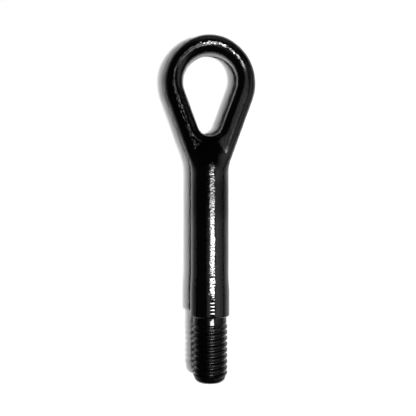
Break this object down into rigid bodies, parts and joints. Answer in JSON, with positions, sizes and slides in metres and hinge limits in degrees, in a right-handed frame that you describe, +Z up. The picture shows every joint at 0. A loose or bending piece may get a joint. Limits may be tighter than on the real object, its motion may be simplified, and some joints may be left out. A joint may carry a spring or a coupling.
{
  "type": "tow eye",
  "caption": "Screw-in vehicle tow eye: a forged teardrop ring on a long round shank, with a stop collar and a coarse rounded-end thread, in glossy black paint.",
  "frame": {"origin": "on the shank's axis, in the plane of the collar's shoulder that stops it when screwed home", "axes": "+Y along the shank, from the thread towards the eye; X across the eye in its plane; +Z up, normal to the plane of the eye, with the part lying on its side"},
  "size_m": [0.0464, 0.1776, 0.0202],
  "materials": {
    "black_paint": "glossy black paint over forged and turned steel"
  },
  "bodies": {
    "root": {"tow_eye": "black_paint"}
  },
  "joints": []
}
